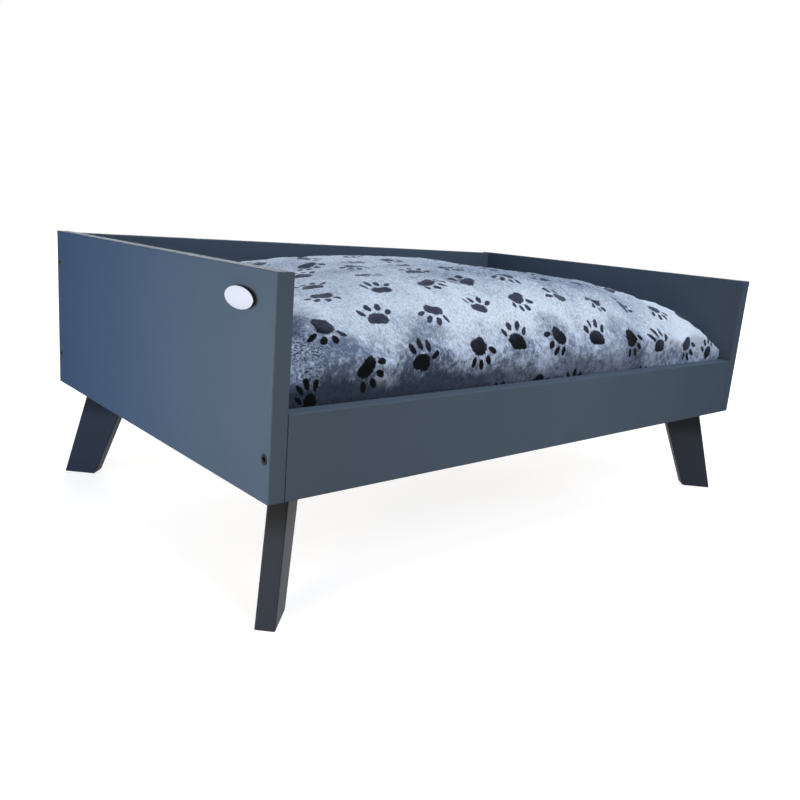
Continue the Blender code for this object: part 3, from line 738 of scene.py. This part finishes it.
def lumpy(target):
    # An uneven filling, and pile drawn into clumps, so that neither face nor outline is a smooth line
    for layer, (size, height) in enumerate(cushion["lumps"]):
        texture = bpy.data.textures.new(f"lumps_{layer}", "CLOUDS")
        texture.noise_scale = size
        texture.noise_depth = 2
        lift = target.modifiers.new(texture.name, "DISPLACE")
        lift.texture = texture
        lift.texture_coords = "LOCAL"
        lift.strength = height * 2
        lift.mid_level = 0.5
    applied(target)


def smoothStep(values, low, high):
    share = np.clip((values - low) / (high - low), 0, 1)
    return share * share * (3 - 2 * share)


def zipSlit(points):
    # Furthest back that the cover reaches: behind the zip's tape in its slit, and behind the pull near it
    spec = cushion
    tapeLow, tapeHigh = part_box("zip_tape")
    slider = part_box("zip_slider")[1].y
    free = wallBack - spec["clearance"]
    height = np.abs(points[:, 2] - (tapeLow.z + tapeHigh.z) / 2)
    past = np.maximum(tapeLow.x - points[:, 0], points[:, 0] - tapeHigh.x)
    nearby = 1 - smoothStep(past, *spec["zipEnds"])
    low = slider - spec["pullRoom"]
    lips = low + (free - low) * smoothStep(height, *spec["zipPull"])
    reach = free + (lips - free) * nearby
    slit = (1 - smoothStep(past, -0.001, 0.003)) * (1 - smoothStep(height, *spec["zipLip"]))
    return reach + (tapeLow.y - 0.0006 - reach) * slit


def heldIn(points):
    # Nothing pushes into the boards round it, or over the zip
    gap = cushion["clearance"]
    points[:, 0] = np.clip(points[:, 0], wallLeft + gap, wallRight - gap)
    points[:, 1] = np.clip(points[:, 1], wallFront + gap, wallBack - gap)
    points[:, 2] = np.maximum(points[:, 2], bedTop + 0.0006)
    points[:, 1] = np.minimum(points[:, 1], zipSlit(points))
    return points


def runs(direction, steps=241):
    # Length of cloth from the middle outwards, over a grid of the form: rows are u, columns are v
    turn = np.linspace(0, math.pi / 2, steps)
    u, v = np.meshgrid(np.sin(turn), np.sin(turn), indexing="ij")
    level = crownLevel(u, v)
    flat = (u * halfX, v * halfY)[direction]
    step = np.hypot(np.diff(flat, axis=direction), np.diff(level, axis=direction))
    length = np.cumsum(step, axis=direction)
    return np.insert(length, 0, 0, axis=direction)


def looked(table, u, v):
    # Value of a table between its grid's points
    last = len(table) - 1
    a = np.clip(np.arcsin(np.clip(u, 0, 1)) * 2 / math.pi * last, 0, last - 1e-6)
    b = np.clip(np.arcsin(np.clip(v, 0, 1)) * 2 / math.pi * last, 0, last - 1e-6)
    i, j = a.astype(int), b.astype(int)
    p, q = a - i, b - j
    near = table[i, j] * (1 - q) + table[i, j + 1] * q
    far = table[i + 1, j] * (1 - q) + table[i + 1, j + 1] * q
    return near * (1 - p) + far * p


def clothPlaces(target):
    # Where each point lies on the flat cloth, which runs down the sides and on past the seam
    spec = cushion
    points = pointsOf(target.data)
    u = np.clip(np.abs(points[:, 0] - middleX) / halfX, 0, 0.999)
    v = np.clip(np.abs(points[:, 1]) / halfY, 0, 0.999)
    rise = np.clip((points[:, 2] - seamLevel) / crownRise, 0.0, 1)
    full = rise ** spec["roundness"]
    lengthwise, across = spec["lengthwisePower"], spec["acrossPower"]
    byRiseV = np.clip(1 - full / np.maximum(1 - u ** lengthwise, 1e-6), 0, 1) ** (1 / across)
    byRiseU = np.clip(1 - full / np.maximum(1 - v ** across, 1e-6), 0, 1) ** (1 / lengthwise)
    nearV = np.clip((v - 0.82) / 0.12, 0, 1)
    nearU = np.clip((u - 0.90) / 0.08, 0, 1)
    v = v + (byRiseV - v) * nearV
    u = u + (byRiseU - u) * nearU * (1 - nearV)
    below = np.maximum(0, seamLevel - points[:, 2])
    flat = np.stack([
        np.sign(points[:, 0] - middleX) * (looked(runs(0), u, v * 0.9) + below * nearU),
        np.sign(points[:, 1]) * (looked(runs(1), u * 0.97, v) + below * nearV),
        np.where((below > 0.03) & (nearU + nearV < 0.5), 7.0, 0.0),
    ], axis=-1)
    stored = target.data.attributes.new("cloth", "FLOAT_VECTOR", "POINT")
    stored.data.foreach_set("vector", flat.astype(np.float32).ravel())


def makeCushion(material):
    target = cushionCage(material)
    inflate(target)
    refine = target.modifiers.new("finer", "SUBSURF")
    refine.levels = refine.render_levels = 1
    applied(target)
    points = pointsOf(target.data)
    lift = foldHeight(points) + seamGroove(points) + puckers(points)
    points = softened(points, target.data, 2) + normalsOf(target.data) * lift[:, None]
    points = softened(heldIn(squeezed(points)), target.data, 3)
    setPoints(target.data, points)
    lumpy(target)
    setPoints(target.data, heldIn(pointsOf(target.data)))
    clothPlaces(target)
    target.data.shade_smooth()
    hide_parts("cushion_top_panel", "cushion_bottom_panel", "cushion_fill")
    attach(target, "cushion")
    print("cushion:", len(target.data.vertices), "points")
    return target


# Badge

badge = {"sides": 96, "edge": 0.0004, "lip": 0.0012, "dish": 0.0002,
         "undercut": 0.002,  # how much smaller its back is
         # the side's dark colour is painted shade
         "face": srgb(198, 204, 216), "side": srgb(38, 42, 50)}


def badgeFinish():
    # Gloss enamel on the face; the plate's sides are painted dark, a painted shade along its rim
    spec = badge
    material, wire, shader = newFinish("badge_enamel", Coat_Roughness=0.06)
    spot = places(wire)
    wave = noise(spot, 0.008, 2.0)
    rub = noise(spot, 0.0011, 4.0, 0.7)
    outward = along(wire.node("TexCoord", {}, {}, "Normal"), "X") * -1
    enamel = fade(outward, 0.55, 0.75)
    # The sides' dark colour is painted shade
    side = (0.8 + rub * 0.4) * spec["side"]
    face = (0.98 + wave * 0.04) * spec["face"]
    wire.plug(shader["Base Color"], mixed(enamel, side, face))
    wire.plug(shader["Roughness"], 0.42 - enamel * 0.26 + fade(rub, 0.55, 0.8) * 0.1)
    wire.plug(shader["Coat Weight"], enamel * 0.35)
    wire.plug(shader["Normal"], bumped(wire, wave, 0.00004, 0.5))
    return material


def ovalRing(centre, halfLong, halfTall, inset, depth, sides):
    ring = []
    for step in range(sides):
        angle = 2 * math.pi * step / sides
        y = (halfLong - inset) * math.cos(angle)
        z = (halfTall - inset) * math.sin(angle)
        ring.append((centre.x - depth, centre.y + y, centre.z + z))
    return ring


def makeBadge(material):
    # A bare glossy oval plate with a raised rim and a gently domed face
    spec = badge
    low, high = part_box("oval_badge")
    centre = Vector((high.x, (low.y + high.y) / 2, (low.z + high.z) / 2))
    thick = high.x - low.x
    edge, lip, dish, under = spec["edge"], spec["lip"], spec["dish"], spec["undercut"]
    # each ring: how far in from the outline, and how far out from the panel
    steps = [(under + edge, 0), (under, edge * 0.5), (under * 0.5, thick * 0.4),
             (under * 0.1, thick * 0.65), (0, thick - edge), (edge * 0.3, thick - edge * 0.3),
             (edge, thick), (lip, thick), (lip + edge * 0.5, thick - dish * 0.5),
             (lip + edge, thick - dish)]
    domed = [(lip + edge + 0.0012 * k, thick - dish * (1 - k / 6) ** 1.5) for k in range(1, 6)]
    rings = [ovalRing(centre, (high.y - low.y) / 2, (high.z - low.z) / 2, inset, depth, spec["sides"])
             for inset, depth in steps + domed]
    made = lofted("badge_plate", [list(reversed(ring)) for ring in rings], material)
    made.data.set_sharp_from_angle(angle=math.radians(50))
    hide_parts("oval_badge")
    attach(made, "frame")
    return made


# Visible screws

panelScrews = {"sides": 48, "edge": 0.0004, "shank": 0.0024, "socket": 0.004, "socketDepth": 0.002}


def hexReach(angle, flats):
    # Distance from the middle to a hexagon's side, at an angle
    fromMiddle = (angle % (math.pi / 3)) - math.pi / 6
    return flats / 2 / math.cos(fromMiddle)


def makeScrew(name, material):
    spec = panelScrews
    low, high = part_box(name)
    side = -1 if low.x < 0 else 1
    face = low.x if side < 0 else high.x
    y, z = (low.y + high.y) / 2, (low.z + high.z) / 2
    head = (high.y - low.y) / 2
    shank, edge = spec["shank"], spec["edge"]
    length = high.x - low.x
    angles = [2 * math.pi * k / spec["sides"] for k in range(spec["sides"])]
    # from the tip to the head's face, then the hexagon socket: radius and depth behind the face
    profile = [(0.0004, length), (shank, length - 0.004), (shank, 0.0028), (head, 0.0004),
               (head - 0.0002, 0.0001), (head - edge, 0.0), (head - 2 * edge, 0.0)]
    outlines = [([radius] * len(angles), depth) for radius, depth in profile]
    socket = [hexReach(a, spec["socket"]) for a in angles]
    for grow, depth in [(0.0002, 0.0), (0.0, 0.0002), (0.0, spec["socketDepth"])]:
        outlines.append(([reach + grow for reach in socket], depth))
    rings = [[(face - side * depth, y + radius * math.cos(a), z + radius * math.sin(a))
              for radius, a in zip(radii, angles)] for radii, depth in outlines]
    if side < 0:
        rings = [list(reversed(ring)) for ring in rings]
    made = lofted(name + "_bolt", rings, material)
    made.data.set_sharp_from_angle(angle=math.radians(40))
    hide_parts(name)
    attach(made, "frame")
    return made


# Zip

zipper = {
    "pitch": 0.0014,
    "wire": 0.00035,  # half its thickness
    "steps": 10,  # points on each loop
    "rows": (0.00065, 0.0012),  # a row's start above or below the seam, and its height
}


def makeCoil(material):
    # Two interlocked rows of nylon loops along the seam
    spec = zipper
    low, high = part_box("zip_coil")
    z = (low.z + high.z) / 2
    y = (low.y + high.y) / 2
    start, tall = spec["rows"]
    halfDepth = (high.y - low.y) / 2 - spec["wire"]
    curve = bpy.data.curves.new("zip_teeth", "CURVE")
    curve.dimensions = "3D"
    curve.bevel_depth = spec["wire"]
    curve.bevel_resolution = 1
    curve.use_fill_caps = True
    loops = int((high.x - low.x - 0.004) / spec["pitch"])
    for row in (-1, 1):
        line = curve.splines.new("POLY")
        count = loops * spec["steps"]
        line.points.add(count - 1)
        for k, point in enumerate(line.points):
            turn = 2 * math.pi * k / spec["steps"]
            x = low.x + 0.002 + (k / spec["steps"] + row * 0.25) * spec["pitch"] + 0.0004
            height = z + row * (start + tall * (1 - math.cos(turn)) / 2)
            point.co = (x, y + halfDepth * math.sin(turn), height, 1)
    made = bpy.data.objects.new("zip_teeth", curve)
    bpy.context.scene.collection.objects.link(made)
    curve.materials.append(material)
    seen = made.evaluated_get(bpy.context.evaluated_depsgraph_get())
    mesh = bpy.data.meshes.new_from_object(seen)
    bpy.data.objects.remove(made)
    made = bpy.data.objects.new("zip_teeth", mesh)
    bpy.context.scene.collection.objects.link(made)
    mesh.shade_smooth()
    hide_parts("zip_coil")
    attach(made, "cushion")
    return made


# Stage

stage = {
    "floorSize": 12,
    "floorColour": srgb(170, 171, 173),
    "floorGlow": 0.8,
    "world": srgb(226, 233, 244),
    "worldStrength": 0.07,
    "lens": 34.786,  # on a 36 mm sensor
    "cameraPlace": (-0.6451, -0.6887, 0.3201),
    "cameraTurn": (42.01, -13.05, 4.63),  # heading from +Y towards +X, tilt up, roll; degrees
}

lamps = {
    # place, aimed at, width and height, watts, colour
    "overhead": ((0.3, -0.4, 2.3), (0, 0, 0.15), (1.5, 1.3), 27, (0.94, 0.97, 1.0)),
    "frontTop": ((-0.1, -1.6, 1.5), (0, 0, 0.17), (1.0, 0.8), 11.8, (0.85, 0.9, 1.0)),
    "frontLow": ((0.0, -0.62, 0.16), (0, -0.23, 0.14), (0.3, 0.16), 0.47, (1.0, 0.93, 0.82)),
    "leftNear": ((-0.75, -0.27, 0.22), (-0.36, -0.12, 0.18), (0.3, 0.2), 1.75, (1.0, 0.75, 0.38)),
    "leftFar": ((-1.0, -0.02, 0.2), (-0.35, 0.06, 0.17), (0.5, 0.24), 3.4, (0.1, 0.46, 1.0)),
    "behind": ((0.5, 1.5, 0.7), (0.1, 0.22, 0.15), (0.9, 0.5), 12, (1.0, 0.98, 0.95)),
    "right": ((1.5, 0.2, 0.6), (0.36, 0, 0.15), (0.9, 0.5), 7, (0.95, 0.97, 1.0)),
}


def seenDirectly(wire):
    camera, glossy, through = (
        wire.node("LightPath", {}, {}, f"Is {kind} Ray") for kind in ("Camera", "Glossy", "Transmission")
    )
    return number(number(camera, "MAXIMUM", glossy), "MAXIMUM", through)


def makeStage():
    spec = stage
    half = spec["floorSize"] / 2
    material = bpy.data.materials.new("floor_white")
    material.use_nodes = True
    tree = material.node_tree
    wire = Wire(tree)
    shader = tree.nodes["Principled BSDF"].inputs
    shader["Base Color"].default_value = (*spec["floorColour"], 1)
    shader["Roughness"].default_value = 0.9
    shader["Emission Strength"].default_value = 1.0
    away = wire.node("VectorMath", {"operation": "LENGTH"}, {0: places(wire)}, "Value")
    glow = seenDirectly(wire) * (spec["floorGlow"] + fade(away, 0.9, 3.0) * 0.8)
    wire.plug(shader["Emission Color"], glow * (1.0, 1.0, 1.0))
    floor = meshObject("floor", [(-half, -half, 0), (half, -half, 0), (half, half, 0), (-half, half, 0)],
                       [(0, 1, 2, 3)], material, smooth=False)
    floor.location.z = -0.0002

    world = bpy.data.worlds.new("studio")
    bpy.context.scene.world = world
    world.use_nodes = True
    tree = world.node_tree
    wire = Wire(tree)
    ground = tree.nodes["Background"].inputs
    mask = seenDirectly(wire)
    soft = tuple(c * spec["worldStrength"] for c in spec["world"])
    wire.plug(ground["Color"], mixed(mask, soft, (1.0, 1.0, 1.0)))
    ground["Strength"].default_value = 1.0


def makeLamps():
    for name, (place, target, size, watts, colour) in lamps.items():
        light = bpy.data.lights.new(name, "AREA")
        light.shape = "RECTANGLE"
        light.size, light.size_y = size
        light.energy = watts
        light.color = colour
        made = bpy.data.objects.new(name, light)
        made.location = place
        aim = Vector(target) - Vector(place)
        made.rotation_mode = "QUATERNION"
        made.rotation_quaternion = aim.to_track_quat("-Z", "Y")
        made.visible_camera = False
        bpy.context.scene.collection.objects.link(made)


def makeCamera():
    spec = stage
    heading, tilt, roll = (math.radians(angle) for angle in spec["cameraTurn"])
    camera = bpy.data.cameras.new("camera")
    camera.lens = spec["lens"]
    camera.sensor_width = 36
    camera.clip_start = 0.02
    made = bpy.data.objects.new("camera", camera)
    turn = Matrix.Rotation(-heading, 4, "Z") @ Matrix.Rotation(math.pi / 2 + tilt, 4, "X")
    made.matrix_world = Matrix.Translation(spec["cameraPlace"]) @ turn @ Matrix.Rotation(roll, 4, "Z")
    bpy.context.scene.collection.objects.link(made)
    bpy.context.scene.camera = made


# Finishes for what stays of the frame


def dress(name, material):
    slots = nodes[name].data.materials
    slots.clear()
    slots.append(material)


def dressFrame():
    spec = boardPaint
    slate = {axis: paintFinish("slate_" + axis, spec["slate"], axis, spec["slateGloss"]) for axis in "XY"}
    charcoal = paintFinish("charcoal", spec["charcoal"], "Z", spec["charcoalGloss"])
    pine = {axis: woodFinish("pine_" + axis, axis) for axis in "XY"}
    ply = woodFinish("ply", "X", 0.92, 0.003)
    beech = woodFinish("beech", "X", 0.85)
    zinc = metalFinish("zinc", (0.62, 0.63, 0.66), 0.36, 1.0)
    foam = plasticFinish("foam", srgb(40, 41, 44), 0.8)
    for name in ("left_side_panel", "right_side_panel"):
        dress(name, slate["Y"])
    for name in ("back_panel", "front_rail"):
        dress(name, slate["X"])
    for name in nodes:
        if name.endswith("_leg"):
            dress(name, charcoal)
        elif name in ("front_cleat", "back_cleat"):
            dress(name, pine["X"])
        elif name.endswith("_cleat") or name == "centre_batten" or name.endswith("_corner_block"):
            dress(name, pine["Y"])
        elif name.endswith("_dowel"):
            dress(name, beech)
        elif name.endswith("_screw"):
            dress(name, zinc)
    dress("base_board", ply)
    dress("badge_pad", foam)
    print("frame dressed")


dressFrame()
blackSteel = metalFinish("black_steel", (0.011, 0.012, 0.015), 0.5, 0.3, 0.15)
for hand in ("left", "right"):
    for where in ("rail", "low_back", "high_back"):
        makeScrew(f"{hand}_{where}_screw", blackSteel)
makeBadge(badgeFinish())
print("badge and bolts made")
dress("zip_tape", clothFinish("tape_cloth", srgb(70, 76, 86), 0.0006))
makeCoil(plasticFinish("coil_nylon", srgb(58, 63, 72), 0.35))
dress("zip_slider", blackSteel)
print("zip made")
makeCushion(plushFinish())
makeStage()
makeLamps()
makeCamera()
bpy.context.scene.view_settings.view_transform = "Standard"
print("scene ready")
